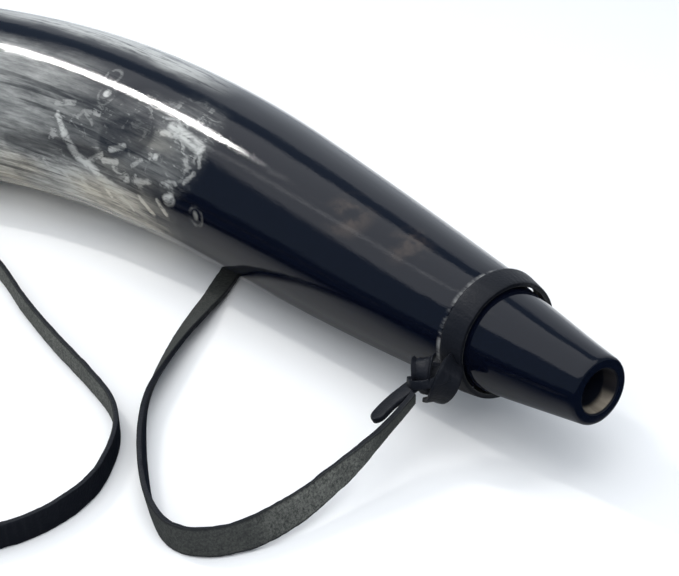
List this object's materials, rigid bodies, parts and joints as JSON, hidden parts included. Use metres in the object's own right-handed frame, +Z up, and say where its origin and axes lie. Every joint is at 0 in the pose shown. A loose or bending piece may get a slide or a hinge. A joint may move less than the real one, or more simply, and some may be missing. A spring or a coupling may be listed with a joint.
{
  "type": "shofar",
  "caption": "Polished black natural horn with a carved mouthpiece and a flat black leather lace tied round its neck and through its bell rim.",
  "frame": {"origin": "centre of the bounding box in X and Y, at the floor", "axes": "+X runs along the horn towards the mouthpiece, +Y away from the side the horn curves round, +Z up"},
  "size_m": [0.3775, 0.2277, 0.0665],
  "materials": {
    "horn": "polished natural horn, black",
    "leather": "flat lace, smooth grain side and suede side"
  },
  "bodies": {
    "horn": {"horn_body": "horn", "lace_front": "leather", "lace_under_front": "leather", "lace_back": "leather", "lace_under_rear": "leather", "lace_side": "leather"},
    "neck_loop": {"neck_loop": "leather", "neck_knot": "leather", "lace_tail": "leather"},
    "rim_lace": {"rim_pass": "leather", "rim_knot": "leather"}
  },
  "joints": [
    {"name": "neck_loop_turn", "type": "hinge", "parent": "horn", "child": "neck_loop", "pos_m": [0.14851, -0.01339, 0.02636], "axis": [-0.9694, 0.2447, -0.0173], "range_deg": [-15, 45], "deforming": ["lace_front"]},
    {"name": "rim_knot_turn", "type": "hinge", "parent": "horn", "child": "rim_lace", "pos_m": [-0.13851, -0.03902, 0.02195], "axis": [0.5078, -0.7907, -0.3419], "range_deg": [-60, 60]}
  ]
}
